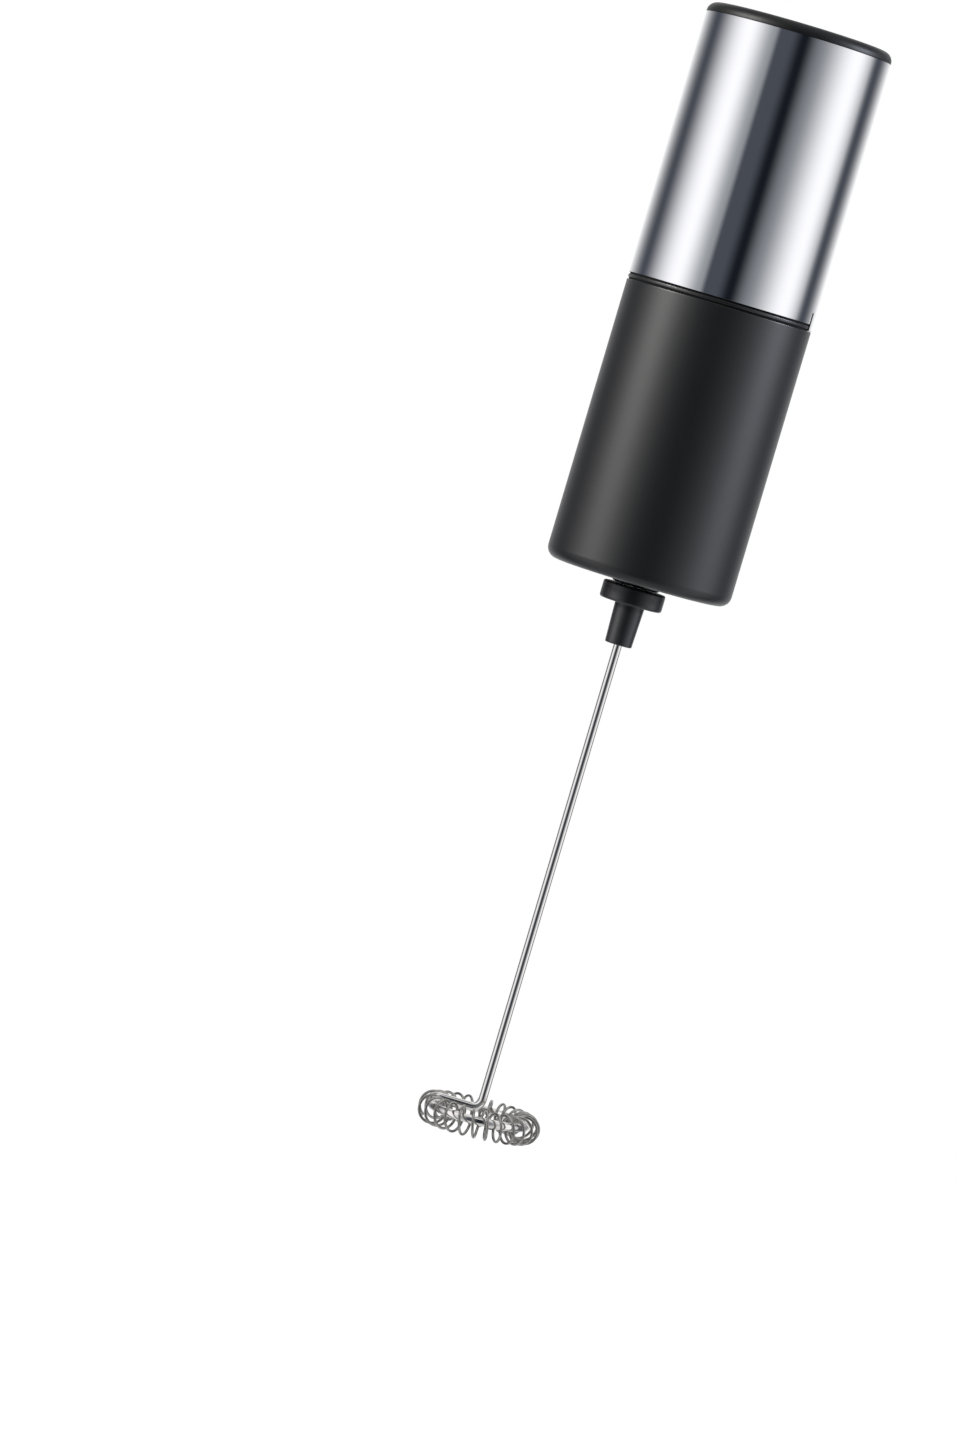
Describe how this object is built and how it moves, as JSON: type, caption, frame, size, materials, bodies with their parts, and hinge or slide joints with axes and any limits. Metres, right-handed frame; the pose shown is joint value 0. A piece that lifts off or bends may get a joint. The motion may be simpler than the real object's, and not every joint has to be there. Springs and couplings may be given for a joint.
{
  "type": "milk frother",
  "caption": "Hand-held battery milk frother: cylindrical steel and black plastic handle, thin wire stem, coil ring whisk.",
  "frame": {"origin": "on the handle's axis, at the lower edge of the steel sleeve, where a hand holds it", "axes": "+Z along the handle's axis from the whisk towards the cap; +X towards the cover's spring latch"},
  "size_m": [0.033, 0.033, 0.1995],
  "materials": {
    "polished_steel": "polished stainless steel",
    "whisk_steel": "bright drawn stainless wire",
    "black_housing": "fine matt spark texture",
    "black_cap": "satin moulded",
    "grey_moulding": "plain moulded",
    "white_nylon": "moulded nylon",
    "zinc_steel": "zinc plated",
    "spring_nickel": "nickel plated",
    "copper": "bare or enamelled copper",
    "sintered_bronze": "oil-filled sintered bronze",
    "ferrite": "sintered, dull",
    "cell_wrap": "printed shrink film, no print",
    "lead_red": "extruded insulation",
    "lead_black": "extruded insulation"
  },
  "bodies": {
    "handle": {"lower_housing": "black_housing", "shaft_seal": "black_cap", "battery_carrier": "black_housing", "battery_left": "cell_wrap", "battery_right": "cell_wrap", "lower_contact_spring": "spring_nickel", "lower_contact_plate": "spring_nickel", "motor_can": "zinc_steel", "motor_end_bell": "white_nylon", "front_bush": "sintered_bronze", "rear_bush": "sintered_bronze", "motor_magnet_left": "ferrite", "motor_magnet_right": "ferrite", "brush_left": "copper", "brush_right": "copper", "motor_terminal_left": "copper", "motor_terminal_right": "copper", "motor_cradle": "grey_moulding", "lead_wire_left": "lead_black", "lead_wire_right": "lead_red"},
    "cover": {"steel_sleeve": "polished_steel", "cover_liner": "grey_moulding", "end_cap": "black_cap", "switch_base": "grey_moulding", "switch_screw_front": "zinc_steel", "switch_screw_rear": "zinc_steel", "button_spring": "spring_nickel", "upper_contact_spring": "spring_nickel", "upper_contact_plate": "spring_nickel"},
    "button": {"push_button": "black_cap", "contact_bridge": "spring_nickel"},
    "whisk": {"motor_shaft": "zinc_steel", "armature_core": "zinc_steel", "armature_winding_1": "copper", "armature_winding_2": "copper", "armature_winding_3": "copper", "commutator": "copper", "whisk_coupling": "black_housing", "whisk_wire": "whisk_steel", "whisk_coil": "whisk_steel"}
  },
  "joints": [
    {"name": "whisk_spin", "type": "hinge", "parent": "handle", "child": "whisk", "pos_m": [0, 0, -0.0534], "axis": [0, 0, 1], "continuous": true},
    {"name": "cover_slide", "type": "slide", "parent": "handle", "child": "cover", "axis": [0, 0, 1], "range_m": [0, 0.045]},
    {"name": "button_press", "type": "slide", "parent": "cover", "child": "button", "axis": [0, 0, -1], "range_m": [0, 0.0015], "stiffness_N_per_m": 600, "springref_m": -0.002, "deforming": ["button_spring"]}
  ]
}
